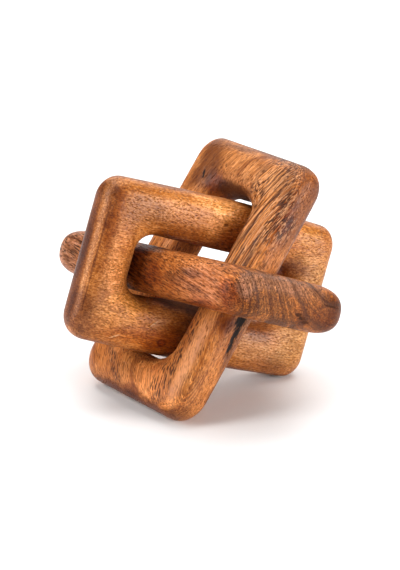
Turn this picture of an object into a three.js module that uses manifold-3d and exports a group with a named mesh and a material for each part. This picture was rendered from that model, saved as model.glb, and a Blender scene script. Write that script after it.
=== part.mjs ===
// A loose knot of three carved wooden links, standing on a table.
// Each link is a flat rounded rectangle with a slot-shaped hole. The three lie at right angles to one
// another, each passing through the next one's hole, so that no two are hooked but the three hold.
// Millimetres, +Z up. The origin is under the middle of the knot, on the table.

import * as THREE from 'three';
import { ParametricGeometry } from 'three/addons/geometries/ParametricGeometry.js';
import { mergeVertices } from 'three/addons/utils/BufferGeometryUtils.js';
import Module from 'manifold-3d';

const wasm = await Module();
wasm.setup();

// Driving dimensions, in millimetres.
// The links were cut by hand, so each differs from the others by a few millimetres.
// lean is how far the link hangs from its place at right angles to the others, in degrees about the
// knot's X, Y and Z, and shift is how far its middle lies from the middle of the knot. The slot isn't
// cut quite in the middle: slotShift is how far off it lies, along the link and across it.
// The long bars are thickest in the middle: belly is how far their outer sides swell there, and
// slotBelly their inner sides. cornerRadii are those of the link's +X end and of its -X end.
const BROAD_LINK = {
	length: 140.2,
	width: 81.2,
	thickness: 21.9,
	sideBar: 25.1,
	endBar: 24.75,
	belly: 1.6,
	slotBelly: 0.3,
	cornerRadii: [ 9.5, 10.5 ],
	holeRadius: 10.3,
	slotShift: [ 0.2, 1.0 ],
	lean: [ 5.7, - 11.9, 2.6 ],
	shift: [ 0.83, 0.15, 0.38 ],
};
const TALL_LINK = {
	length: 141.7,
	width: 78.0,
	thickness: 23.0,
	sideBar: 24.2,
	endBar: 25.0,
	belly: 0.5,
	slotBelly: 0.0,
	cornerRadii: [ 10.4, 12.7 ],
	holeRadius: 11.3,
	slotShift: [ - 0.9, - 0.6 ],
	lean: [ 7.2, 0.3, - 14.2 ],
	shift: [ 0.9, 1.6, - 0.5 ],
};
const LEVEL_LINK = {
	length: 140.7,
	width: 80.9,
	thickness: 23.9,
	sideBar: 24.25,
	endBar: 24.7,
	belly: 0.0,
	slotBelly: 0.0,
	cornerRadii: [ 14.0, 14.0 ],
	holeRadius: 9.9,
	slotShift: [ 0.3, 0.0 ],
	lean: [ 0.0, 0.0, 0.3 ],
	shift: [ - 1.9, - 1.15, - 0.2 ],
};

// How square a bar is: 2 makes its section an oval, more makes it a soft square.
const SQUARENESS = 2.5;

// The knot is tipped until the tall link's end bar and one corner of the broad link are on the table.
const KNOT_TIP = [ 80.6, 43.9, - 15.9 ];

// Depth of the flats that are worn where the knot stands.
const FOOT_FLAT_DEPTH = 0.35;

// Facets of one quarter of a link's outline, and facets round its bar.
const END_FACETS = 1;
const CORNER_FACETS = 9;
const SIDE_FACETS = 2;
const BAR_FACETS = 32;

const QUARTER_FACETS = END_FACETS + CORNER_FACETS + SIDE_FACETS;
const THIRD_OF_A_TURN = 2 * Math.PI / 3;
const KNOT_DIAGONAL = new THREE.Vector3( 1, 1, 1 ).normalize();

function inRadians( degrees ) {

	return degrees.map( THREE.MathUtils.degToRad );

}

// A point on a rounded rectangle whose long sides swell by belly in the middle. u goes once round it,
// from 0 in the middle of the +X end to 1.
function outlinePoint( length, width, radii, belly, u ) {

	const turn = 2 * Math.PI * u;
	const radius = Math.cos( turn ) > 0 ? radii[ 0 ] : radii[ 1 ];
	const share = Math.acos( Math.abs( Math.cos( turn ) ) ) / ( Math.PI / 2 );
	const cornerStart = END_FACETS / QUARTER_FACETS;
	const cornerEnd = 1 - SIDE_FACETS / QUARTER_FACETS;
	const straightEnd = width / 2 - radius;
	const straightSide = length / 2 - radius;
	const point = new THREE.Vector2();

	if ( share < cornerStart ) {

		point.set( length / 2, straightEnd * share / cornerStart );

	} else if ( share > cornerEnd ) {

		point.set( straightSide * ( 1 - share ) / ( 1 - cornerEnd ), width / 2 );

	} else {

		const angle = ( share - cornerStart ) / ( cornerEnd - cornerStart ) * Math.PI / 2;
		point.set( straightSide + radius * Math.cos( angle ), straightEnd + radius * Math.sin( angle ) );

	}

	point.y *= 1 + 2 * belly / width * ( 1 - ( 2 * point.x / length ) ** 2 );
	return point.multiply( new THREE.Vector2( Math.sign( Math.cos( turn ) ), Math.sign( Math.sin( turn ) ) ) );

}

// A point on the section of a bar, from -1 to 1 both ways. v goes once round it.
function sectionPoint( v ) {

	const turn = 2 * Math.PI * v;
	const soften = ( part ) => Math.sign( part ) * Math.abs( part ) ** ( 2 / SQUARENESS );
	return new THREE.Vector2( soften( Math.cos( turn ) ), soften( Math.sin( turn ) ) );

}

// One link, lying in the XY plane with its length along X: a soft square bar swept round a rounded
// rectangle, between the link's own outline and the outline of its hole.
function linkGeometry( link ) {

	const holeLength = link.length - 2 * link.endBar;
	const holeWidth = link.width - 2 * link.sideBar;
	const holeRadii = [ link.holeRadius, link.holeRadius ];
	const slotMiddle = new THREE.Vector2( ...link.slotShift );

	function surface( u, v, target ) {

		const outer = outlinePoint( link.length, link.width, link.cornerRadii, link.belly, u );
		const inner = outlinePoint( holeLength, holeWidth, holeRadii, - link.slotBelly, u ).add( slotMiddle );
		const section = sectionPoint( v );
		const middle = outer.clone().add( inner ).divideScalar( 2 );
		const reach = outer.sub( inner ).divideScalar( 2 );
		middle.addScaledVector( reach, section.x );
		target.set( middle.x, middle.y, section.y * link.thickness / 2 );

	}

	return closedGeometry( new ParametricGeometry( surface, 4 * QUARTER_FACETS, BAR_FACETS ) );

}

// Joins the vertices that fall on the same spot, so that the surface closes on itself.
function closedGeometry( geometry ) {

	geometry.deleteAttribute( 'normal' );
	geometry.deleteAttribute( 'uv' );
	return mergeVertices( geometry, 1e-3 );

}

function toSolid( geometry ) {

	return new wasm.Manifold( new wasm.Mesh( {
		numProp: 3,
		vertProperties: new Float32Array( geometry.attributes.position.array ),
		triVerts: new Uint32Array( geometry.index.array ),
	} ) );

}

function fromSolid( solid ) {

	const mesh = solid.getMesh();
	const geometry = new THREE.BufferGeometry();
	geometry.setAttribute( 'position', new THREE.BufferAttribute( mesh.vertProperties, 3 ) );
	geometry.setIndex( new THREE.BufferAttribute( mesh.triVerts, 1 ) );
	geometry.computeVertexNormals();
	return geometry;

}

// Wears off whatever a link would push below the table top.
function wearFlat( mesh ) {

	const size = 4 * BROAD_LINK.length;
	const table = closedGeometry( new THREE.BoxGeometry( size, size, size ) );
	table.translate( 0, 0, - size / 2 );
	table.applyMatrix4( mesh.matrixWorld.clone().invert() );
	mesh.geometry = fromSolid( toSolid( mesh.geometry ).subtract( toSolid( table ) ) );

}

// Puts a link in its place in the knot. The lengths of the three links run along the knot's X, Y and Z:
// a third of a turn about the knot's diagonal takes each place to the next.
function hangLink( knot, name, link, place, finish ) {

	const mesh = new THREE.Mesh( linkGeometry( link ), new THREE.MeshStandardMaterial( finish ) );
	mesh.name = name;
	mesh.quaternion.setFromAxisAngle( KNOT_DIAGONAL, place * THIRD_OF_A_TURN );

	const hung = new THREE.Group();
	hung.position.set( ...link.shift );
	hung.rotation.set( ...inRadians( link.lean ) );
	hung.add( mesh );
	knot.add( hung );
	return mesh;

}

const part = new THREE.Group();
const knot = new THREE.Group();
part.add( knot );

const links = [
	hangLink( knot, 'broad_link', BROAD_LINK, 0, { color: 0xb27a45, roughness: 0.38, metalness: 0 } ),
	hangLink( knot, 'tall_link', TALL_LINK, 1, { color: 0xb06f3f, roughness: 0.38, metalness: 0 } ),
	hangLink( knot, 'level_link', LEVEL_LINK, 2, { color: 0x94583a, roughness: 0.38, metalness: 0 } ),
];

knot.rotation.set( ...inRadians( KNOT_TIP ) );
part.updateMatrixWorld( true );
const reach = new THREE.Box3().setFromObject( knot, true );
const middle = reach.getCenter( new THREE.Vector3() );
knot.position.set( - middle.x, - middle.y, - reach.min.z - FOOT_FLAT_DEPTH );
part.updateMatrixWorld( true );
links.forEach( wearFlat );

export default part;
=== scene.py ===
import math
import bpy
import numpy as np
from mathutils import Matrix, Vector


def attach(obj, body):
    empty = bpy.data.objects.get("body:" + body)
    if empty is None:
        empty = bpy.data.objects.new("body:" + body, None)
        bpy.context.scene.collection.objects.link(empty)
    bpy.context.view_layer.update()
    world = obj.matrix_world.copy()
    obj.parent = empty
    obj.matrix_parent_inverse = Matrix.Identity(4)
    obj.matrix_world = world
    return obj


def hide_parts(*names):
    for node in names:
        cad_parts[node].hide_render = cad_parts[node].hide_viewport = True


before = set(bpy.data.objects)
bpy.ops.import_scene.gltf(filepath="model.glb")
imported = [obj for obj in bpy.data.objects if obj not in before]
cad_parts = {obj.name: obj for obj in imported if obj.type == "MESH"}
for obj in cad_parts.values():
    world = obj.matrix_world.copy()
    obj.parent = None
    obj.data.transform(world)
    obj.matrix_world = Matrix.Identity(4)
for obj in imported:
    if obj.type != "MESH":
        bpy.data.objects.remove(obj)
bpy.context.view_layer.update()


# The broad link: the light golden one, which reaches furthest to the left and whose lower right corner
# stands on the table. A closed rounded rectangle, sawn from one board with its fibres along the link's
# length, filed and sanded until the bars are soft squares in section, then waxed.

# The knot stands tipped over. Places and sizes are in metres and angles in degrees.
KNOT_MIDDLE = (0.0016808, 0.0014256, 0.0584958)
KNOT_TIP = (80.6, 43.9, -15.9)

# How finely a link is cut along its bars, across its ends, and round each corner and edge.
BAR_CUTS = 189
END_CUTS = 95
ROUND_CUTS = 32

# How full the edges of a bar are: 0.5 rounds its section to an oval, and more leaves a soft square.
EDGE_FULLNESS = 0.574


def turned(degrees):
    """A turn about X, Y and Z, the one about Z made first."""
    x, y, z = (math.radians(value) for value in degrees)
    return Matrix.Rotation(x, 4, "X") @ Matrix.Rotation(y, 4, "Y") @ Matrix.Rotation(z, 4, "Z")


def hang(place, lean, shift):
    """Where a link hangs in the knot. Its length lies along the knot's X, Y or Z for place 0, 1 or 2,
    but for its lean, and its middle lies off the knot's by shift."""
    knot = Matrix.Translation(KNOT_MIDDLE) @ turned(KNOT_TIP)
    square = Matrix.Rotation(math.radians(120 * place), 4, Vector((1, 1, 1)))
    return knot @ Matrix.Translation(Vector(shift)) @ turned(lean) @ square


def choose(link, wanted, among=None):
    """Selects, in edit mode, the vertices whose place is wanted, of all or of those numbered in among."""
    bpy.ops.mesh.select_mode(type="VERT")
    bpy.ops.mesh.select_all(action="DESELECT")
    bpy.ops.object.mode_set(mode="OBJECT")
    for vertex in link.data.vertices:
        if among is None or vertex.index in among:
            vertex.select = wanted(vertex.co)
    bpy.ops.object.mode_set(mode="EDIT")


def choose_sides(link, along):
    """Selects the long straight edges that run along axis 0 or 1."""
    shortest = 0.005
    wobble = 0.00001
    across = 1 - along
    bpy.ops.mesh.select_mode(type="EDGE")
    bpy.ops.mesh.select_all(action="DESELECT")
    bpy.ops.object.mode_set(mode="OBJECT")
    for edge in link.data.edges:
        start, end = (link.data.vertices[index].co for index in edge.vertices)
        run = end - start
        edge.select = abs(run[along]) > shortest and abs(run[across]) < wobble
    bpy.ops.object.mode_set(mode="EDIT")


def carve_link(name, home, size, bars, corners, hole_corner, slot_shift, belly, slot_belly):
    """Saws out a board with a slot, rounds its bars and puts it in its place. bars holds the widths of
    the long and the short bars, and corners the radii at the +X end and at the -X end. The slot lies
    off the middle by slot_shift. The long bars swell by belly outside and by slot_belly inside."""
    length, width, thickness = size
    side_bar, end_bar = bars
    bpy.ops.object.select_all(action="DESELECT")
    bpy.ops.mesh.primitive_plane_add(size=1)
    link = bpy.context.object
    link.name = name
    link.data.name = name
    bpy.ops.object.mode_set(mode="EDIT")
    bpy.ops.mesh.select_all(action="SELECT")
    bpy.ops.transform.resize(value=(length, width, 1))
    choose(link, lambda spot: spot.x > 0)
    bpy.ops.mesh.bevel(offset=corners[0], segments=ROUND_CUTS, profile=0.5, affect="VERTICES")
    choose(link, lambda spot: spot.x < 0)
    bpy.ops.mesh.bevel(offset=corners[1], segments=ROUND_CUTS, profile=0.5, affect="VERTICES")

    # The slot: the outline once more, each corner shrunk and pushed in to where the slot's corner is.
    bpy.ops.mesh.select_mode(type="FACE")
    bpy.ops.mesh.select_all(action="SELECT")
    bpy.ops.mesh.extrude_region_move(TRANSFORM_OT_translate={"value": (0, 0, 0)})
    bpy.ops.object.mode_set(mode="OBJECT")
    slot = {vertex.index for vertex in link.data.vertices if vertex.select}
    bpy.ops.object.mode_set(mode="EDIT")
    for x, corner in ((1, corners[0]), (-1, corners[1])):
        for y in (-1, 1):
            choose(link, lambda spot: spot.x * x > 0 and spot.y * y > 0, slot)
            corner_middle = (x * (length / 2 - corner), y * (width / 2 - corner), 0)
            shrink = hole_corner / corner
            bpy.ops.transform.resize(value=(shrink, shrink, 1), center_override=corner_middle)
            push_x = x * (corner - end_bar - hole_corner) + slot_shift[0]
            push_y = y * (corner - side_bar - hole_corner) + slot_shift[1]
            bpy.ops.transform.translate(value=(push_x, push_y, 0))

    # The one face with many corners is the waste inside the slot. What stays is cut into small faces.
    bpy.ops.mesh.select_mode(type="FACE")
    bpy.ops.mesh.select_all(action="DESELECT")
    bpy.ops.object.mode_set(mode="OBJECT")
    for face in link.data.polygons:
        face.select = len(face.vertices) > 4
    bpy.ops.object.mode_set(mode="EDIT")
    bpy.ops.mesh.delete(type="FACE")
    choose_sides(link, 0)
    bpy.ops.mesh.subdivide(number_cuts=BAR_CUTS)
    choose_sides(link, 1)
    bpy.ops.mesh.subdivide(number_cuts=END_CUTS)
    bpy.ops.object.mode_set(mode="OBJECT")

    # The long bars are left a little thicker in the middle, outside and inside.
    slot_length = length - 2 * end_bar
    slot_width = width - 2 * side_bar
    margin = 0.0005
    for vertex in link.data.vertices:
        x = vertex.co.x - slot_shift[0]
        y = vertex.co.y - slot_shift[1]
        if abs(x) < slot_length / 2 + margin and abs(y) < slot_width / 2 + margin:
            pinch = 2 * slot_belly / slot_width * (1 - (2 * x / slot_length) ** 2)
            vertex.co.y -= y * pinch
        else:
            swell = 2 * belly / width * (1 - (2 * vertex.co.x / length) ** 2)
            vertex.co.y *= 1 + swell

    # The board gets its thickness, and the four edges of the bars are rounded until they meet.
    bpy.ops.object.mode_set(mode="EDIT")
    bpy.ops.mesh.select_mode(type="FACE")
    bpy.ops.mesh.select_all(action="SELECT")
    bpy.ops.mesh.extrude_region_move(TRANSFORM_OT_translate={"value": (0, 0, thickness)})
    bpy.ops.mesh.select_all(action="SELECT")
    bpy.ops.transform.translate(value=(0, 0, -thickness / 2))
    bpy.ops.mesh.normals_make_consistent(inside=False)
    bpy.ops.mesh.select_mode(type="EDGE")
    bpy.ops.mesh.select_all(action="DESELECT")
    bpy.ops.mesh.edges_select_sharp(sharpness=math.radians(60))
    bpy.ops.mesh.bevel(
        offset_type="PERCENT", offset_pct=50, segments=ROUND_CUTS, profile=EDGE_FULLNESS, affect="EDGES"
    )
    bpy.ops.mesh.select_all(action="SELECT")
    bpy.ops.mesh.remove_doubles(threshold=0.000002)
    bpy.ops.mesh.normals_make_consistent(inside=False)
    bpy.ops.object.mode_set(mode="OBJECT")

    link.matrix_world = home
    bpy.ops.object.transform_apply(location=True, rotation=True, scale=True)
    return link


def file_by_hand(link, breadth, depth):
    """Leaves the shallow hollows of file and sandpaper, about that broad and at most that deep."""
    marks = bpy.data.textures.new(link.name + "_file_marks", "CLOUDS")
    marks.noise_scale = breadth
    marks.noise_depth = 1
    filed = link.modifiers.new("file_marks", "DISPLACE")
    filed.texture = marks
    filed.texture_coords = "LOCAL"
    filed.mid_level = 0
    filed.strength = -depth
    bpy.ops.object.modifier_apply(modifier=filed.name)


def cut_marks(link, home, marks):
    """Cuts cracks and pits, each along a line, with its half width and its depth, all in the link's own
    millimetres. A depth below 0 leaves the wood higher there."""
    count = len(link.data.vertices)
    spots = np.empty(count * 3)
    out = np.empty(count * 3)
    link.data.vertices.foreach_get("co", spots)
    link.data.vertex_normals.foreach_get("vector", out)
    spots = spots.reshape(-1, 3)
    out = out.reshape(-1, 3)
    to_link = np.array(home.inverted())
    own = (spots @ to_link[:3, :3].T + to_link[:3, 3]) * 1000
    for line, half_width, depth in marks:
        nearest = np.full(count, 1e9)
        for start, end in zip(line[:-1], line[1:]):
            run = np.subtract(end, start)
            share = np.clip((own - start) @ run / max(run @ run, 1e-9), 0, 1)
            away = np.linalg.norm(own - start - share[:, None] * run, axis=1)
            nearest = np.minimum(nearest, away)
        sink = depth * np.clip(1 - (nearest / half_width) ** 2, 0, 1) ** 1.5
        spots -= out * (sink / 1000)[:, None]
    link.data.vertices.foreach_set("co", spots.ravel())
    link.data.update()


def stand_on_table(link):
    """Wears flat what would reach below the table top."""
    bpy.ops.object.mode_set(mode="EDIT")
    choose(link, lambda spot: spot.z < 0)
    bpy.ops.transform.resize(value=(1, 1, 0), center_override=(0, 0, 0))
    bpy.ops.mesh.select_all(action="DESELECT")
    bpy.ops.object.mode_set(mode="OBJECT")


# How the wood is painted: each helper adds to a wood's node tree and gives back its outcome.
def step(wood, kind, inputs, **choices):
    """Adds a node of that kind, with its choices made and its inputs linked or set."""
    node = wood.nodes.new("ShaderNode" + kind)
    for choice, value in choices.items():
        setattr(node, choice, value)
    for socket, value in inputs.items():
        if isinstance(value, bpy.types.NodeSocket):
            wood.links.new(value, node.inputs[socket])
        else:
            node.inputs[socket].default_value = value
    return node


def reckon(wood, operation, *values):
    """Does one sum with the values."""
    return step(wood, "Math", dict(enumerate(values)), operation=operation).outputs[0]


def fade(wood, value, start, end, low=0.0, high=1.0):
    """Goes softly from low to high while a value goes from start to end."""
    ends = {"Value": value, "From Min": start, "From Max": end, "To Min": low, "To Max": high}
    return step(wood, "MapRange", ends, interpolation_type="SMOOTHSTEP").outputs[0]


def tint(wood, share, under, over, how="MIX"):
    """Lays a colour over another, by a share of 0 to 1."""
    node = step(wood, "Mix", {0: share, 6: under, 7: over}, data_type="RGBA", blend_type=how)
    return node.outputs[2]


def stretch(wood, place, long, wide):
    """Counts a place in spans that long along the link, and that wide across it and through it."""
    spans = (1 / long, 1 / wide, 1 / wide)
    return step(wood, "Mapping", {"Vector": place, "Scale": spans}).outputs[0]


def mottle(wood, place, long, wide, detail=2.0):
    """A soft random value about 0.5, in patches that long and that wide in millimetres."""
    spans = stretch(wood, place, long, wide)
    inputs = {"Vector": spans, "Scale": 1.0, "Detail": detail, "Roughness": 0.55}
    return step(wood, "TexNoise", inputs).outputs["Fac"]


def layers(wood, year, thick, detail=3.0):
    """Light and dark yearly layers of about that thickness, by their distance from the pith."""
    years = reckon(wood, "DIVIDE", year, thick)
    inputs = {"W": years, "Scale": 1.0, "Detail": detail, "Roughness": 0.6}
    return step(wood, "TexNoise", inputs, noise_dimensions="1D").outputs["Fac"]


def dips(wood, value, deep):
    """Keeps only the dark side of a random value: thin dark layers on an even ground."""
    return fade(wood, value, 0.5 - deep, 0.5, low=0.0, high=0.62)


def hairlines(wood, value, width):
    """Thin lines, 1 on the line, where a random value passes its middle."""
    off = reckon(wood, "ABSOLUTE", reckon(wood, "SUBTRACT", value, 0.5))
    return fade(wood, off, width, width * 0.2)


def pores(wood, fibre, long, wide, size, crowd=None):
    """Open pores, 1 inside: short tubes along the fibres, one to each span that long and that wide. size
    is their radius as a share of a span, and crowd makes them larger where it is high."""
    spans = stretch(wood, fibre, long, wide)
    away = step(wood, "TexVoronoi", {"Vector": spans, "Scale": 1.0}).outputs["Distance"]
    if crowd is not None:
        away = reckon(wood, "SUBTRACT", away, reckon(wood, "MULTIPLY_ADD", crowd, 0.5, -0.25))
    return fade(wood, away, size, size * 0.45)


def egg(wood, place, middle, reach, turn=0):
    """How far a place is from a middle: 1 on the egg of that half size, which is turned in the link's
    plane."""
    turns = (0, 0, math.radians(turn))
    inputs = {"Vector": place, "Location": middle, "Rotation": turns, "Scale": reach}
    inside = step(wood, "Mapping", inputs, vector_type="TEXTURE").outputs[0]
    return step(wood, "VectorMath", {0: inside}, operation="LENGTH").outputs["Value"]


def patch(wood, place, middle, reach, turn=0, soft=0.8, ragged=None):
    """1 inside an egg-shaped patch of the wood and 0 outside it. reach is its half size in millimetres,
    turn its angle in the link's plane, and ragged a random value that frays its edge."""
    away = egg(wood, place, middle, reach, turn)
    if ragged is not None:
        away = reckon(wood, "ADD", away, reckon(wood, "MULTIPLY_ADD", ragged, 1.6, -0.8))
    return fade(wood, away, 1.0 + soft / 2, 1.0 - soft / 2)


def both(wood, first, second, share=1.0):
    """That share where both values are 1."""
    return reckon(wood, "MULTIPLY", reckon(wood, "MULTIPLY", first, second), share)


def either(wood, first, *others):
    """The highest of the values: 1 where any of them is 1."""
    for other in others:
        first = reckon(wood, "MAXIMUM", first, other)
    return first


# Used both for the wood's own darker and lighter patches and for painted light and shade.
def stains_and_painted_light(wood, tone, place, ragged, spots):
    """Darkens or lightens a tone in patches. Each has its middle, half size, turn and softness, and what
    the tone's red, green and blue are multiplied by in it."""
    for middle, reach, turn, soft, times in spots:
        spread = patch(wood, place, middle, reach, turn, soft, ragged)
        tone = tint(wood, spread, tone, (*times, 1), how="MULTIPLY")
    return tone


def weigh(wood, *shares):
    """Adds random values about 0.5, each with its weight, to one about 0.5."""
    total = 0.5 - sum(weight for value, weight in shares) / 2
    for value, weight in shares:
        total = reckon(wood, "MULTIPLY_ADD", value, weight, total)
    return total


def tones(wood, value, stops):
    """Turns a value into a tone between those of its stops."""
    node = step(wood, "ValToRGB", {0: value})
    bar = node.color_ramp
    while len(bar.elements) < len(stops):
        bar.elements.new(0.5)
    for element, (spot, tone) in zip(bar.elements, stops):
        element.position = spot
        element.color = (*tone, 1)
    return node.outputs[0]


def relief(wood, pore, ripple):
    """The height of the waxed surface, which ripples with the fibres and sinks into the pores."""
    return reckon(wood, "MULTIPLY_ADD", pore, -1.0, reckon(wood, "MULTIPLY", ripple, 0.8))


def grow(name, home, drift, bend, dive, sway, pith):
    """Starts a wood. Gives its material and nodes, the place in the link's own millimetres, the same
    straightened along the fibres, and the distance from the pith. The fibres run along the link, but for
    their drift and bend in its plane, their dive through it and how many millimetres they sway."""
    material = bpy.data.materials.new(name)
    material.use_nodes = True
    wood = material.node_tree
    wood.nodes.clear()
    own = step(wood, "Mapping", {
        "Vector": step(wood, "TexCoord", {}).outputs["Object"],
        "Location": home.translation,
        "Rotation": home.to_euler("XYZ"),
        "Scale": (0.001, 0.001, 0.001),
    }, vector_type="TEXTURE").outputs[0]
    split = step(wood, "SeparateXYZ", {0: own})
    x = split.outputs[0]
    slope = reckon(wood, "MULTIPLY_ADD", x, -bend / 2, -drift)
    slide = reckon(wood, "MULTIPLY", x, slope)

    # The fibres sway slowly, over some 45 mm along the link and 22 mm across it.
    waved = step(wood, "Mapping", {"Vector": own, "Scale": (0.022, 0.045, 0.045)}).outputs[0]
    waves = step(wood, "TexNoise", {"Vector": waved, "Scale": 1.0, "Detail": 1.5})
    wave = step(wood, "SeparateColor", {0: waves.outputs["Color"]})
    wave_y = reckon(wood, "MULTIPLY_ADD", wave.outputs[0], sway, -sway / 2)
    wave_z = reckon(wood, "MULTIPLY_ADD", wave.outputs[1], sway, -sway / 2)
    y = reckon(wood, "ADD", reckon(wood, "ADD", split.outputs[1], slide), wave_y)
    z = reckon(wood, "ADD", reckon(wood, "MULTIPLY_ADD", x, dive, split.outputs[2]), wave_z)
    fibre = step(wood, "CombineXYZ", {0: x, 1: y, 2: z}).outputs[0]
    round_pith = step(wood, "CombineXYZ", {
        1: reckon(wood, "SUBTRACT", y, pith[0]),
        2: reckon(wood, "SUBTRACT", z, pith[1]),
    }).outputs[0]
    year = step(wood, "VectorMath", {0: round_pith}, operation="LENGTH").outputs["Value"]
    return material, wood, own, fibre, year


def wax(material, colour, height, dull, shine):
    """Closes a wood with its waxed surface: a satin shine, with less of it where dull is high, and a
    fine relief."""
    wood = material.node_tree
    bump = step(wood, "Bump", {"Height": height, "Strength": 1.0, "Distance": 0.0002})
    surface = step(wood, "BsdfPrincipled", {
        "Base Color": colour,
        "Roughness": fade(wood, dull, 0.0, 1.0, low=0.38, high=0.85),
        "Normal": bump.outputs[0],
        "Specular IOR Level": shine,
    })
    return step(wood, "OutputMaterial", {"Surface": surface.outputs[0]})


broad_home = hang(place=0, lean=(5.7, -11.9, 2.6), shift=(0.00083, 0.00015, 0.00038))
broad_link = carve_link(
    "broad_wood", broad_home, size=(0.1402, 0.0812, 0.0219), bars=(0.0251, 0.02475),
    corners=(0.0095, 0.0105), hole_corner=0.0103, slot_shift=(0.0002, 0.001), belly=0.0016,
    slot_belly=0.0003
)
file_by_hand(broad_link, breadth=0.02, depth=0.00018)

# Two swells, on the slot's lower wall and on the upper edge, then three pits and four scratches.
BROAD_MARKS = [
    ([(-17, -14.4, -2.5), (3, -14.4, -2.5)], 10.0, -0.78),
    ([(0, 41.8, -1.5), (16, 41.6, -1.5)], 9.0, -0.3),
    ([(-2.5, 30.0, 10.9), (-1.2, 30.3, 10.9)], 0.8, 0.55),
    ([(1.0, 27.6, 10.9), (2.2, 27.9, 10.9)], 0.6, 0.4),
    ([(-59.5, -8.5, 10.9), (-58.9, -8.5, 10.9)], 0.7, 0.4),
    ([(-28.8, -27.0, 10.8), (-25.2, -23.6, 10.8)], 0.7, 0.2),
    ([(-28.6, -23.4, 10.8), (-26.0, -27.2, 10.8)], 0.6, 0.2),
    ([(-48.6, -36.4, 10.2), (-44.6, -34.2, 10.4)], 0.7, 0.25),
    ([(-46.6, -33.2, 10.5), (-44.4, -35.8, 10.3)], 0.6, 0.2),
]
cut_marks(broad_link, broad_home, BROAD_MARKS)
stand_on_table(broad_link)
bpy.ops.object.shade_smooth()

golden, wood, own, fibre, year = grow(
    "golden_wood", broad_home, drift=0.03, bend=0.001, dive=0.0, sway=6.0, pith=(-12.0, 90.0)
)
band = layers(wood, year, thick=4.0)
thread = mottle(wood, fibre, long=12.0, wide=0.9, detail=3.0)
ripple = mottle(wood, fibre, long=1.6, wide=0.8, detail=2.0)
cloud = mottle(wood, own, long=16.0, wide=13.0, detail=3.0)
figure = mottle(wood, fibre, long=0.9, wide=2.6, detail=1.5)
figured = patch(wood, own, (-58, 4, 11), (6, 26, 6), soft=1.2, ragged=cloud)
figure = fade(wood, figured, 0.0, 1.0, low=0.5, high=figure)
shade = weigh(wood, (band, 0.3), (thread, 0.65), (ripple, 0.95), (cloud, 0.45), (figure, 0.45))
tone = tones(wood, shade, [
    (0.24, (0.215, 0.053, 0.005)),
    (0.44, (0.345, 0.099, 0.013)),
    (0.58, (0.470, 0.158, 0.031)),
    (0.78, (0.625, 0.242, 0.066)),
])

# Brown lines in the right end, and thin dark ones along the left side.
end_grain = patch(wood, own, (58, 12, 8), (17, 38, 9), soft=0.7, ragged=cloud)
end_lines = pores(wood, fibre, long=9.0, wide=1.1, size=0.38, crowd=thread)
tone = tint(wood, both(wood, end_lines, end_grain, share=0.6), tone, (0.20, 0.055, 0.012, 1))
side_lines = hairlines(wood, mottle(wood, fibre, long=40.0, wide=2.6, detail=2.0), width=0.03)
side = patch(wood, own, (-70, 0, -1), (4, 45, 8), soft=0.6, ragged=cloud)
tone = tint(wood, both(wood, side_lines, side, share=0.5), tone, (0.15, 0.045, 0.015, 1))
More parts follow.
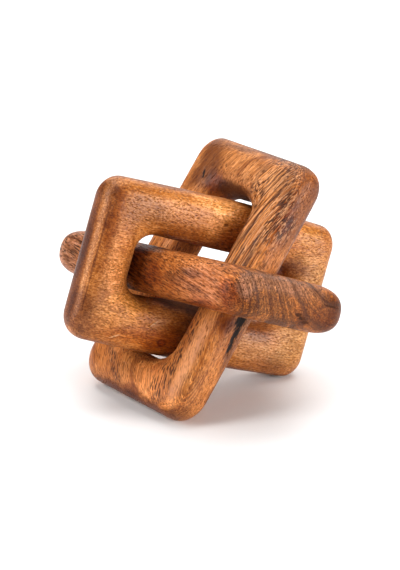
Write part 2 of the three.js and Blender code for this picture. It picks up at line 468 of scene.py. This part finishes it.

# Where the tone is darker or lighter in patches: some of it is the wood's own uneven tone, and some is
# painted shade and painted highlights, as said for each group.
tone = stains_and_painted_light(wood, tone, own, cloud, [
    # The upper, lower and right edges, darkened as painted shade where they turn away from the light.
    ((0, 42, -1), (74, 4, 6), 0, 0.8, (0.58, 0.52, 0.46)),
    ((0, -42, 0), (74, 4.5, 8), 0, 0.9, (0.62, 0.56, 0.50)),
    ((71.5, 0, 4.5), (3.5, 44, 4.5), 0, 0.8, (0.60, 0.52, 0.44)),
    # The left bar's outer edge, with its dark lines and darker patches, and pale strips painted as the
    # highlight of the left lamp.
    ((-64.0, 20, 9.8), (3.8, 20, 3.5), 0, 0.9, (0.60, 0.45, 0.26)),
    ((-66.5, 28, 8.3), (3.2, 11, 3), 0, 0.8, (0.62, 0.56, 0.62)),
    ((-67.4, 0, 8.0), (2.0, 31, 0.4), 0, 0.9, (0.50, 0.42, 0.40)),
    ((-69.5, 8, 5.8), (3, 22, 1.4), 0, 0.9, (1.12, 1.22, 1.50)),
    ((-69.2, -17, 5.5), (2.4, 12, 1.2), 0, 0.9, (1.22, 1.32, 1.55)),
    ((-68, -26, 6), (6, 13, 7), 0, 0.9, (0.52, 0.44, 0.38)),
    ((-68, 34, 4), (4, 8, 5), 0, 0.8, (0.64, 0.62, 0.68)),
    # The left bar's face, with lighter, paler patches painted as the sheen of the lamps.
    ((-55, 20, 11), (6, 7, 5), 0, 1.0, (0.78, 0.74, 0.74)),
    ((-57, 4, 11), (5, 17, 4), 0, 1.0, (1.45, 1.52, 1.75)),
    ((-57, -9, 11), (7, 11, 4), 0, 1.0, (1.26, 1.36, 1.60)),
    ((-51, -11, 11), (6, 8, 4), 0, 1.0, (1.28, 1.30, 1.45)),
    ((-62, -25, 10), (7, 14, 6), 0, 1.2, (0.80, 0.78, 0.82)),
    # The edges and walls of the slot, darkened as painted shade, most deeply under the level link's bar.
    ((8, 15.5, 6), (44, 3.5, 8), 0, 1.0, (0.70, 0.60, 0.52)),
    ((-12, 20, 9), (30, 5, 6), 0, 1.2, (0.84, 0.76, 0.68)),
    ((-7, -15, 2), (16, 3.4, 9), 0, 0.9, (0.32, 0.27, 0.24)),
    ((46, 8, -2), (24, 3, 14), 0, 0.9, (0.75, 0.68, 0.62)),
    # The upper bar: painted shade along the slot's edge, and lighter, paler patches painted as the sheen
    # of the lamps.
    ((-47, 27, 11), (12, 8, 5), 0, 1.0, (0.86, 0.92, 1.20)),
    ((-35, 16, 11), (12, 4, 5), 10, 0.9, (0.85, 0.72, 0.50)),
    ((-20, 34, 10), (30, 6, 6), 0, 1.0, (1.32, 1.44, 1.68)),
    ((-9, 39.5, 6), (13, 6, 8), 0, 1.0, (1.60, 1.84, 2.50)),
    ((-6, 28, 10), (9, 8, 6), 0, 1.0, (1.50, 1.62, 1.76)),
    ((-2, 38, 7), (10, 9, 8), 0, 1.0, (1.16, 1.28, 1.50)),
    ((44, 32, 11), (12, 7, 4), 0, 1.0, (1.22, 1.22, 1.06)),
    ((51, 35, 10), (7, 6, 4), 0, 1.0, (1.18, 1.34, 1.50)),
    # The lower bar: a painted shadow where the other two links shade it, lighter patches painted as the
    # sheen of the lamps, and darker patches.
    ((-48, -22, 11), (13, 7, 5), 20, 1.0, (1.66, 1.92, 2.10)),
    ((-34, -24, 11), (7, 5, 4), 0, 1.0, (1.30, 1.32, 1.20)),
    ((-22, -34, 10), (26, 5, 6), 0, 1.0, (1.05, 0.88, 0.62)),
    ((-18, -32, 10), (12, 8, 5), 0, 1.0, (0.88, 0.76, 0.50)),
    ((2, -27, 10), (12, 15, 8), 0, 1.3, (0.24, 0.15, 0.10)),
    ((34, -28, 11), (14, 7, 5), 0, 1.0, (1.08, 1.32, 2.00)),
    ((36, -19, 8), (10, 6, 6), 0, 1.0, (0.58, 0.50, 0.46)),
    ((46, -36, 10), (14, 5, 5), 0, 1.0, (0.72, 0.68, 0.74)),
    ((56, -38, 7), (12, 5, 6), 0, 1.0, (0.84, 0.78, 0.70)),
    # The right end.
    ((58, -6, 11), (15, 32, 6), 0, 1.2, (1.12, 1.46, 2.02)),
    ((48, 15, 9), (9, 5, 6), 0, 1.0, (0.62, 0.54, 0.52)),
])

# The darker outer side of the left bar, its grain bands deepened as painted shade where it turns away
# from the light, and the small knot in the lower bar.
tone = stains_and_painted_light(wood, tone, own, None, [
    ((-71, 17, -2.6), (4.5, 32, 6.2), 0, 0.5, (0.46, 0.36, 0.30)),
    ((-71, -14, -1.5), (4.5, 34, 5.8), 0, 0.5, (0.46, 0.36, 0.30)),
    ((-19.8, -34.2, 10.5), (2.6, 2.1, 3), 0, 0.5, (0.42, 0.24, 0.18)),
    ((-19.5, -34.0, 10.5), (1.5, 1.2, 3), 0, 0.6, (1.8, 2.2, 2.2)),
])

# Bright scratches, and pores and pits filled with dark wax. The walls of the slot stay dull.
upper_scratch = patch(wood, own, (-27.0, -25.3, 10.8), (2.4, 0.4, 3), turn=42, soft=0.9)
lower_scratch = patch(wood, own, (-46.6, -35.3, 10.3), (2.8, 0.4, 3), turn=28, soft=0.9)
scratches = either(wood, upper_scratch, lower_scratch)
tone = tint(wood, reckon(wood, "MULTIPLY", scratches, 0.5), tone, (0.85, 0.50, 0.24, 1))
upper_pit = patch(wood, own, (-1.9, 30.1, 10.9), (1.5, 0.7, 2), turn=12, soft=0.6)
lower_pit = patch(wood, own, (1.6, 27.8, 10.9), (1.2, 0.5, 2), turn=12, soft=0.6)
fine = pores(wood, fibre, long=2.4, wide=0.62, size=0.36)
coarse = pores(wood, fibre, long=4.5, wide=0.75, size=0.26, crowd=ripple)
pore = either(wood, fine, coarse, upper_pit, lower_pit)
tone = tint(wood, reckon(wood, "MULTIPLY", pore, 0.6), tone, (0.08, 0.022, 0.005, 1))
slot = patch(wood, own, (0, 1, 0), (53, 18.5, 30), soft=0.3)
wax(golden, tone, relief(wood, pore, ripple), dull=either(wood, pore, slot), shine=0.28)
broad_link.data.materials.append(golden)
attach(broad_link, "root")
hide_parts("broad_link")


# The tall link: it leans from the lower left, where its end bar lies on the table, to the top right.
# Sawn from a streaked board with black cracks and a seam of bark, shaped and waxed as the first link.
tall_home = hang(place=1, lean=(7.2, 0.3, -14.2), shift=(0.0009, 0.0016, -0.0005))
tall_link = carve_link(
    "tall_wood", tall_home, size=(0.1417, 0.078, 0.023), bars=(0.0242, 0.025), corners=(0.0104, 0.0127),
    hole_corner=0.0113, slot_shift=(-0.0009, -0.0006), belly=0.0005, slot_belly=0.0
)
file_by_hand(tall_link, breadth=0.022, depth=0.00018)

# The groove of the bark seam, a swell at the upper end of the slot, a crack near the upper left corner
# and four in a row along the right edge.
BARK_SEAM = [(-8.5, 39.0, -1.6), (-18.0, 39.2, -0.2), (-26.6, 39.2, 1.0), (-32.0, 39.0, 2.6)]
TALL_MARKS = [
    (BARK_SEAM, 1.6, 0.9),
    ([(45.0, -12.0, 5.0), (46.0, -4.0, 2.0)], 7.0, -0.45),
    ([(50.5, -24.2, -11.5), (45.2, -22.4, -11.5)], 0.7, 0.6),
    ([(52.0, 35.8, -9.0), (47.0, 35.2, -9.4)], 0.55, 0.45),
    ([(44.5, 35.6, -9.2), (38.0, 34.4, -9.8)], 0.55, 0.45),
    ([(36.0, 36.8, -8.0), (30.0, 35.4, -9.0)], 0.6, 0.5),
    ([(27.0, 36.0, -8.6), (22.0, 34.6, -9.4)], 0.5, 0.4),
]
cut_marks(tall_link, tall_home, TALL_MARKS)
stand_on_table(tall_link)
bpy.ops.object.shade_smooth()

streaked, wood, own, fibre, year = grow(
    "streaked_wood", tall_home, drift=-0.02, bend=0.0075, dive=0.0, sway=5.0, pith=(12.0, -75.0)
)
band = dips(wood, layers(wood, year, thick=2.6), deep=0.2)
thread = mottle(wood, fibre, long=15.0, wide=0.9, detail=3.0)
ripple = mottle(wood, fibre, long=3.2, wide=0.8, detail=2.0)
cloud = mottle(wood, own, long=16.0, wide=13.0, detail=3.0)
shade = weigh(wood, (band, 0.25), (thread, 0.75), (ripple, 0.4), (cloud, 0.35))
tone = tones(wood, shade, [
    (0.24, (0.225, 0.057, 0.011)),
    (0.44, (0.425, 0.135, 0.028)),
    (0.58, (0.580, 0.204, 0.050)),
    (0.78, (0.715, 0.300, 0.094)),
])
tone = stains_and_painted_light(wood, tone, own, cloud, [
    # The edges, darkened as painted shade where they turn away from the light.
    ((72, 2, -5), (3.5, 42, 7), 0, 0.8, (0.42, 0.36, 0.33)),
    ((0, 38, 8.5), (76, 4, 4.5), 0, 0.8, (0.50, 0.46, 0.44)),
    ((50, 40, 2), (28, 3.2, 10), 0, 0.8, (0.48, 0.42, 0.40)),
    ((0, -38, -7.5), (74, 4, 3.5), 0, 0.8, (0.62, 0.56, 0.52)),
    ((-71.5, 0, -3.5), (4.5, 44, 9), 0, 0.8, (0.34, 0.27, 0.24)),
    # The upper end, with painted shade on the wall of the slot under it and in the slot's corner beside
    # it.
    ((45.5, -2, 0), (5, 17, 11.5), 0, 0.6, (0.24, 0.20, 0.18)),
    ((45, -15, -9), (7, 5, 5), 0, 1.0, (0.38, 0.22, 0.12)),
    ((56, -24, -11), (16, 8, 6), 8, 0.9, (0.38, 0.33, 0.35)),
    ((59, 10, -11.5), (11, 20, 5), 0, 1.2, (1.22, 1.38, 1.84)),
    ((67, -12, -9), (2.0, 10, 4), 0, 0.8, (0.55, 0.55, 0.65)),
    ((66, 18, -10), (6, 10, 5), 0, 1.0, (0.82, 0.74, 0.66)),
    ((69, 20, -6), (3, 18, 5), 0, 0.9, (0.80, 0.74, 0.70)),
    ((66, 38, -3), (10, 5, 8), 0, 0.9, (0.74, 0.66, 0.62)),
    # Painted shade on the slot's wall on the left bar.
    ((9, -15, -5), (8, 5, 8), 0, 1.0, (0.64, 0.56, 0.48)),
    # The right bar, from above down: painted shade along its edge and where the level link's bar shades
    # it, and the sides of its bark seam.
    ((44, 37, -6), (26, 5, 8), 0, 0.9, (0.90, 0.82, 0.76)),
    ((43, 37.5, -7.5), (13, 4.5, 5), 0, 1.0, (0.52, 0.38, 0.28)),
    ((38, 38, -8), (16, 4, 5), 0, 0.9, (0.78, 0.66, 0.56)),
    ((16, 34, -10), (7, 4, 5), 0, 1.0, (1.34, 1.40, 1.48)),
    ((-15, 37, -8), (7, 4, 5), 0, 1.0, (0.52, 0.40, 0.32)),
    ((-19, 38.5, -3.8), (15, 3, 1.3), 0, 0.8, (1.15, 1.30, 1.60)),
    ((-21, 39, 3.4), (17, 3, 2.2), 0, 0.8, (0.44, 0.41, 0.46)),
    ((-23, 39, -4), (11, 4, 7), 0, 1.0, (0.64, 0.56, 0.54)),
    ((-23, 18, -10), (8, 3.5, 5), 0, 1.0, (0.70, 0.58, 0.54)),
    ((-30, 22.5, -11), (24, 4, 6), -2, 1.0, (0.76, 0.68, 0.62)),
    ((-44, 25, -11), (26, 2.6, 6), 8, 0.9, (1.05, 1.12, 1.35)),
    ((-48, 14.5, -10), (8, 4, 4), 0, 1.0, (0.75, 0.68, 0.66)),
    # The lower end, with painted highlights of the left lamp beside the ridge, and painted shade on its
    # outer end wall.
    ((-57, 35, -9), (8, 4, 5), 0, 1.0, (1.28, 1.32, 1.32)),
    ((-63, 33, -9), (6, 2.4, 6), 60, 0.9, (1.22, 1.32, 1.55)),
    ((-66, 28, -9), (9, 9, 6), 0, 1.0, (1.18, 1.10, 0.98)),
    ((-68, 35, -2), (5, 7, 7), 0, 0.9, (0.62, 0.59, 0.58)),
    ((-60, 14, -11), (8, 6, 5), 0, 1.0, (1.38, 1.50, 1.75)),
    ((-60, 8, -11), (9, 12, 5), 0, 1.2, (1.16, 1.14, 1.18)),
    ((-67.5, 4, -9), (3.2, 8, 4), 0, 0.6, (0.52, 0.42, 0.38)),
    ((-70, 3, -5), (3, 18, 5), 0, 0.9, (0.76, 0.64, 0.56)),
    ((-59, -14, -11), (13, 3.0, 6), -50, 0.8, (0.74, 0.72, 0.80)),
    ((-61, -17, -10), (10, 9, 6), 0, 1.0, (0.88, 0.82, 0.76)),
    ((-57, -30, -9), (9, 8, 6), 0, 0.9, (0.92, 0.88, 0.80)),
])

# The bundle of black and pale streaks that runs down the right bar, and the cracks at its edge.
streaks = patch(wood, own, (38, 26, -10), (34, 15, 14), soft=0.7, ragged=cloud)
lines = hairlines(wood, mottle(wood, fibre, long=110.0, wide=2.0, detail=1.0), width=0.065)
finer = hairlines(wood, mottle(wood, fibre, long=60.0, wide=1.2, detail=0.5), width=0.06)
pale = hairlines(wood, mottle(wood, fibre, long=30.0, wide=1.6, detail=1.0), width=0.09)
tone = tint(wood, both(wood, pale, streaks, share=0.6), tone, (0.84, 0.41, 0.19, 1))
broken = fade(wood, mottle(wood, fibre, long=7.0, wide=1.8, detail=1.0), 0.40, 0.56)
finer = reckon(wood, "MULTIPLY", finer, broken)
tone = tint(wood, both(wood, finer, streaks, share=0.85), tone, (0.060, 0.018, 0.008, 1))
tone = tint(wood, both(wood, lines, streaks, share=0.92), tone, (0.038, 0.012, 0.006, 1))
tone = tint(wood, reckon(wood, "MULTIPLY", lines, 0.35), tone, (0.13, 0.036, 0.014, 1))
cracked = patch(wood, own, (36, 35.5, -9), (17, 3.2, 5), soft=0.7, ragged=cloud)
crack = pores(wood, fibre, long=9.0, wide=1.4, size=0.34, crowd=thread)
tone = tint(wood, both(wood, crack, cracked, share=0.9), tone, (0.022, 0.010, 0.006, 1))

# Pores all over, black flecks in three patches of the lower half, and a pale highlight painted along the
# ridge beside them.
flecked = either(
    wood,
    patch(wood, own, (-56, 22, -11), (14, 5.5, 8), soft=0.8, ragged=cloud),
    patch(wood, own, (-29, 22, -11), (25, 4.6, 8), turn=-2, soft=0.8, ragged=cloud),
    patch(wood, own, (-60, -13, -11), (12, 3, 8), turn=-50, soft=0.8, ragged=cloud),
)
fleck = pores(wood, fibre, long=3.6, wide=1.0, size=0.56, crowd=thread)
fine = reckon(wood, "MULTIPLY", pores(wood, fibre, long=2.4, wide=0.7, size=0.38, crowd=cloud), 0.6)
pore = either(wood, fine, pores(wood, fibre, long=6.0, wide=1.15, size=0.28, crowd=ripple))
tone = tint(wood, reckon(wood, "MULTIPLY", pore, 0.8), tone, (0.070, 0.018, 0.006, 1))
tone = tint(wood, both(wood, fleck, flecked, share=0.9), tone, (0.032, 0.010, 0.005, 1))
ridge_highlight = patch(wood, own, (-46, 30.7, -11), (21, 3.2, 5), turn=-4.5, soft=0.9, ragged=thread)
tone = tint(wood, reckon(wood, "MULTIPLY", ridge_highlight, 0.42), tone, (0.82, 0.35, 0.145, 1))

# Two rounded corners cut through the layers of growth, which show as lines round them. An eye in the
# growth lies beside the lower one.
depth = step(wood, "SeparateXYZ", {0: own}).outputs[2]
waved_depth = reckon(wood, "MULTIPLY_ADD", cloud, 4.0, depth)
contour = hairlines(wood, layers(wood, waved_depth, thick=1.5, detail=1.0), width=0.10)
upper_corner = patch(wood, own, (62, 34, -7), (14, 10, 9), soft=0.8)
lower_corner = reckon(wood, "MULTIPLY", patch(wood, own, (-63, 30, -8), (9, 14, 8), soft=0.8), 0.5)
rounded = either(wood, upper_corner, lower_corner)
tone = tint(wood, both(wood, contour, rounded, share=0.45), tone, (0.10, 0.028, 0.010, 1))
round_eye = egg(wood, own, (-46, 37, -9), (14, 3.4, 4.2))
eye_lines = hairlines(wood, layers(wood, round_eye, thick=0.28, detail=1.0), width=0.12)
eye_place = patch(wood, own, (-55, 37, -8), (10, 5.5, 7), soft=0.7)
tone = tint(wood, both(wood, eye_lines, eye_place, share=0.5), tone, (0.10, 0.028, 0.010, 1))

# Bark, dull and nearly black, in the crack near the upper left corner and in the seam of the right side.
bark = patch(wood, own, (47.8, -23.3, -11.5), (2.8, 0.6, 2), turn=-19, soft=0.7, ragged=ripple)
for middle, reach in (
    ((-11.5, 39.2, -1.0), (7.5, 2.5, 3.0)),
    ((-20.5, 39.2, 0.2), (6.0, 2.5, 1.7)),
    ((-27.5, 39.2, 1.4), (4.2, 2.5, 1.1)),
):
    bark = either(wood, bark, patch(wood, own, middle, reach, soft=0.5, ragged=ripple))
tone = tint(wood, bark, tone, (0.020, 0.014, 0.012, 1))
height = reckon(wood, "SUBTRACT", relief(wood, pore, ripple), both(wood, lines, streaks, share=0.8))
slot = patch(wood, own, (-1, -1, 0), (53, 18, 30), soft=0.3)
wax(streaked, tone, height, dull=either(wood, pore, slot, bark), shine=0.2)
tall_link.data.materials.append(streaked)
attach(tall_link, "root")
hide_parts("tall_link")


# The level link: the red-brown one that lies nearly level through the broad link's slot.
# Sawn near the pith, so that its right end shows the yearly rings as arcs, then shaped and waxed too.
level_home = hang(place=2, lean=(0, 0, 0.3), shift=(-0.0019, -0.00115, -0.0002))
level_link = carve_link(
    "level_wood", level_home, size=(0.1407, 0.0809, 0.0239), bars=(0.02425, 0.0247),
    corners=(0.014, 0.014), hole_corner=0.0099, slot_shift=(0.0003, 0), belly=0.0, slot_belly=0.0
)
file_by_hand(level_link, breadth=0.02, depth=0.00018)

# Two cracks in the right end and four short ones near the left end.
LEVEL_MARKS = [
    ([(69.6, 0.6, -3.8), (67.3, 12.7, -8.6)], 0.6, 0.5),
    ([(69.7, 17.8, 3.1), (69.7, 24.0, 3.1), (69.5, 28.9, 2.4)], 0.6, 0.5),
    ([(-62.5, -39.0, -0.4), (-58.5, -39.9, -0.8)], 0.6, 0.5),
    ([(-53.0, -39.6, 6.0), (-47.5, -39.8, 5.2)], 0.55, 0.45),
    ([(-53.5, -40.0, -5.6), (-48.0, -40.0, -5.0)], 0.55, 0.45),
    ([(-44.0, -40.4, 1.6), (-41.0, -40.4, 1.2)], 0.5, 0.4),
]
cut_marks(level_link, level_home, LEVEL_MARKS)
bpy.ops.object.shade_smooth()

red_brown, wood, own, fibre, year = grow(
    "red_brown_wood", level_home, drift=0.0, bend=0.0, dive=0.25, sway=4.0, pith=(26.0, 41.5)
)
band = dips(wood, layers(wood, year, thick=3.6), deep=0.3)
thread = mottle(wood, fibre, long=12.0, wide=0.9, detail=3.0)
ripple = mottle(wood, fibre, long=2.6, wide=0.8, detail=2.0)
cloud = mottle(wood, own, long=16.0, wide=13.0, detail=3.0)
shade = weigh(wood, (band, 0.55), (thread, 1.1), (ripple, 1.0), (cloud, 0.35))
tone = tones(wood, shade, [
    (0.24, (0.110, 0.026, 0.005)),
    (0.44, (0.275, 0.075, 0.014)),
    (0.58, (0.425, 0.124, 0.026)),
    (0.78, (0.570, 0.200, 0.054)),
])
right_end = patch(wood, own, (66, -8, 0), (13, 34, 16), soft=0.5, ragged=cloud)
tone = tint(wood, right_end, tone, (1.05, 1.05, 0.78, 1), how="MULTIPLY")
lines = hairlines(wood, mottle(wood, fibre, long=30.0, wide=2.4, detail=2.0), width=0.03)
tone = tint(wood, reckon(wood, "MULTIPLY", lines, 0.55), tone, (0.07, 0.018, 0.008, 1))
tone = stains_and_painted_light(wood, tone, own, cloud, [
    # The front bar: slanting dark streaks, painted shadow where it comes out of the broad link's slot,
    # fading to the right, and a painted grey reflection on its upper edge there.
    ((34, -40, 3), (9, 5, 2.2), -14, 1.0, (0.62, 0.66, 0.85)),
    ((24, -40, -1), (8, 5, 1.6), -14, 1.0, (0.70, 0.72, 0.85)),
    ((38, -40, -4), (6, 5, 1.6), -14, 1.0, (0.74, 0.76, 0.85)),
    ((-3, -40, 0), (18, 7, 16), 0, 1.8, (0.37, 0.25, 0.16)),
    ((-6, -38, -9), (8, 5, 5), 0, 1.0, (1.45, 1.50, 1.45)),
    ((-6, -36.5, 10.4), (14, 2.5, 1.6), 0, 0.8, (2.0, 2.6, 4.0)),
    ((5, -31, 12), (12, 7, 3), 0, 0.9, (0.42, 0.38, 0.38)),
    ((5, -30, 12), (3.5, 3, 4), 0, 0.9, (0.66, 0.62, 0.70)),
    ((8, -40, 4), (6, 4, 4), 0, 1.0, (0.80, 0.74, 0.70)),
    ((12, -40, -1), (6, 5, 5), 0, 1.0, (1.35, 1.30, 1.05)),
    ((16, -40, -6), (14, 6, 6), 0, 1.0, (0.76, 0.67, 0.56)),
    ((18, -40, -4), (14, 7, 14), 0, 1.8, (0.86, 0.82, 0.72)),
    # The front bar near the right end, and painted shade along the bar's lower edge.
    ((30, -38, 8), (22, 5, 4), 0, 1.0, (1.22, 1.32, 1.45)),
    ((45, -40, 0), (17, 6, 10), 0, 1.0, (1.08, 1.16, 1.90)),
    ((49, -35, -11), (16, 6, 4), 0, 1.0, (0.68, 0.49, 0.34)),
    ((61.0, -39, -3), (6.0, 5, 7), 0, 0.9, (0.66, 0.46, 0.40)),
    ((61, -39.5, 3.5), (6, 4, 4), 0, 1.0, (1.60, 1.60, 1.50)),
    ((20, -30, -13), (60, 12, 4), 0, 0.8, (0.62, 0.56, 0.50)),
    # The right end, with painted shade at its far edge.
    ((66, -36, -2), (4, 4, 5), 0, 1.0, (0.86, 0.74, 0.66)),
    ((69, -23, -5), (5, 6, 4), 0, 1.0, (0.76, 0.80, 1.00)),
    ((69, -22, 6), (5, 10, 4), 0, 1.0, (1.28, 1.36, 1.36)),
    ((64, -8, -9), (6, 9, 4), 0, 1.0, (0.62, 0.62, 0.70)),
    ((68.4, 6.6, -6.2), (6, 3.5, 4), 0, 0.9, (0.50, 0.44, 0.34)),
    ((68, 10, -4), (5, 12, 5), 0, 0.9, (0.80, 0.72, 0.66)),
    ((68, 15, 8), (5, 12, 4), 0, 1.0, (1.36, 1.40, 1.45)),
    ((70, 21, -3), (4, 6, 6), 0, 1.0, (0.84, 0.76, 0.64)),
    ((69, 32, -2), (6, 12, 15), 0, 0.8, (0.36, 0.28, 0.18)),
    # The left end.
    ((-50, -40, -4), (9, 4, 6), 0, 1.0, (0.76, 0.72, 0.66)),
    ((-58, -36, 0), (14, 12, 14), 0, 0.9, (1.0, 1.35, 3.0)),
    ((-69, -36, 0), (3.4, 8, 15), 0, 0.8, (0.36, 0.30, 0.26)),
])

# The upper edge of the right end is painted paler as the sheen of the light on it, and its near corner is
# paler too. A grey sheen of the light is painted on the upper edge of the front bar, near the middle.
painted_end_sheen = patch(wood, own, (68, -14, 8), (6, 26, 4.5), soft=1.0, ragged=cloud)
pale_corner = patch(wood, own, (66.5, -34.5, 4), (3.6, 4.5, 6), soft=0.8, ragged=cloud)
end_sheen_and_pale_corner = either(wood, painted_end_sheen, pale_corner)
tone = tint(wood, reckon(wood, "MULTIPLY", end_sheen_and_pale_corner, 0.62), tone, (0.47, 0.225, 0.135, 1))
painted_grey_sheen = patch(wood, own, (2, -36.5, 10.2), (10, 3, 2), soft=0.8, ragged=cloud)
tone = tint(wood, reckon(wood, "MULTIPLY", painted_grey_sheen, 0.6), tone, (0.30, 0.19, 0.14, 1))

# The yearly rings across the right end: thin and thinner lines, and broad dark years.
ring = hairlines(wood, layers(wood, year, thick=2.2, detail=1.0), width=0.09)
tone = tint(wood, both(wood, ring, right_end, share=0.5), tone, (0.06, 0.020, 0.008, 1))
dark_year = fade(wood, layers(wood, year, thick=6.0, detail=1.0), 0.46, 0.34)
spotty = fade(wood, mottle(wood, own, long=2.4, wide=2.4, detail=1.0), 0.42, 0.56)
fine_ring = hairlines(wood, layers(wood, year, thick=1.0, detail=1.0), width=0.14)
fine_ring = reckon(wood, "MULTIPLY", fine_ring, spotty)
tone = tint(wood, both(wood, fine_ring, right_end, share=0.55), tone, (0.05, 0.017, 0.007, 1))
tone = tint(wood, both(wood, dark_year, right_end, share=0.62), tone, (0.07, 0.022, 0.009, 1))

# Pores along the bars and dots where they are cut across, the cracks of the right end, and black flecks
# in the left end.
fine = reckon(wood, "MULTIPLY", pores(wood, fibre, long=2.6, wide=0.75, size=0.40, crowd=cloud), 0.6)
pore = either(wood, fine, pores(wood, fibre, long=5.0, wide=1.15, size=0.28, crowd=ripple))
crack = patch(wood, own, (69.7, 23.5, 3.0), (1.2, 5.6, 0.55), soft=0.8, ragged=ripple)
for middle in ((69.4, 2.4, -4.5), (68.9, 5.6, -5.8), (68.2, 9.4, -7.3)):
    crack = either(wood, crack, patch(wood, own, middle, (2.0, 2.6, 0.9), soft=0.9))
tone = tint(wood, reckon(wood, "MULTIPLY", pore, 0.88), tone, (0.035, 0.010, 0.004, 1))
tone = tint(wood, reckon(wood, "MULTIPLY", crack, 0.7), tone, (0.020, 0.012, 0.009, 1))
left_end = patch(wood, own, (-56, -36, 0), (18, 10, 14), soft=0.7)
dots = pores(wood, own, long=1.3, wide=0.9, size=0.48, crowd=ripple)
tone = tint(wood, both(wood, dots, right_end, share=0.85), tone, (0.05, 0.015, 0.006, 1))
fleck = pores(wood, fibre, long=9.0, wide=1.2, size=0.45, crowd=thread)
tone = tint(wood, both(wood, fleck, left_end, share=0.85), tone, (0.020, 0.010, 0.006, 1))
slot = patch(wood, own, (0, 0, 0), (53, 18.5, 30), soft=0.3)
wax(red_brown, tone, relief(wood, pore, ripple), dull=either(wood, pore, slot, crack), shine=0.1)
level_link.data.materials.append(red_brown)
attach(level_link, "root")
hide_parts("level_link")


# The table top: a plain white sheet that the knot stands on, so wide that the camera sees no edge of
# it. It is dull, so that it mirrors nothing.
bpy.ops.object.select_all(action="DESELECT")
bpy.ops.mesh.primitive_plane_add(size=12, location=(0, 2, 0))
table = bpy.context.object
table.name = "table"
paper = bpy.data.materials.new("white_paper")
paper.use_nodes = True
sheet = paper.node_tree.nodes["Principled BSDF"]
sheet.inputs["Base Color"].default_value = (0.92, 0.92, 0.92, 1)
sheet.inputs["Roughness"].default_value = 0.9
table.data.materials.append(paper)


# The light: a dark room, a wide soft ceiling a little behind the knot, a large soft box to its right, a
# narrow tall one to its left, and a white sheet behind it.
room = bpy.data.worlds.new("dark_room")
room.use_nodes = True
walls = room.node_tree.nodes["Background"]
walls.inputs["Color"].default_value = (1, 1, 1, 1)
walls.inputs["Strength"].default_value = 0.05
bpy.context.scene.world = room


def soft_box(name, place, aim, size, brightness):
    """A glowing rectangle; brightness is that of its face, where 1 is a white wall in full light."""
    lamp = bpy.data.lights.new(name, "AREA")
    lamp.shape = "RECTANGLE"
    lamp.size, lamp.size_y = size
    lamp.energy = brightness * math.pi * size[0] * size[1]
    box = bpy.data.objects.new(name, lamp)
    box.location = place
    box.rotation_euler = (Vector(aim) - Vector(place)).to_track_quat("-Z", "Y").to_euler()
    bpy.context.scene.collection.objects.link(box)
    return box


LIT_SPOT = (0, 0, 0.06)
soft_box("ceiling", place=(0.0, 0.7, 2.6), aim=(0, 0.5, 0), size=(2.6, 2.6), brightness=4.2)
soft_box("right_box", place=(1.12, -0.50, 0.27), aim=LIT_SPOT, size=(0.8, 0.66), brightness=11.0)
soft_box("left_box", place=(-1.0, -0.46, 0.58), aim=LIT_SPOT, size=(0.42, 1.05), brightness=10.0)
soft_box("back_sheet", place=(0.2, 1.9, 0.9), aim=LIT_SPOT, size=(2.4, 1.2), brightness=1.9)


# The camera: in front of the knot, some 0.85 m away from it across the table, looking down on it by
# about 20 degrees and tipped a little to one side.
eye = bpy.data.cameras.new("eye")
eye.lens = 113.684
eye.sensor_width = 36
viewer = bpy.data.objects.new("viewer", eye)
viewer.location = (0.001584, -0.848841, 0.373564)
viewer.rotation_euler = tuple(math.radians(value) for value in (69.4677, -2.2072, 0.8264))
bpy.context.scene.collection.objects.link(viewer)
bpy.context.scene.camera = viewer
bpy.context.scene.view_settings.view_transform = "Standard"
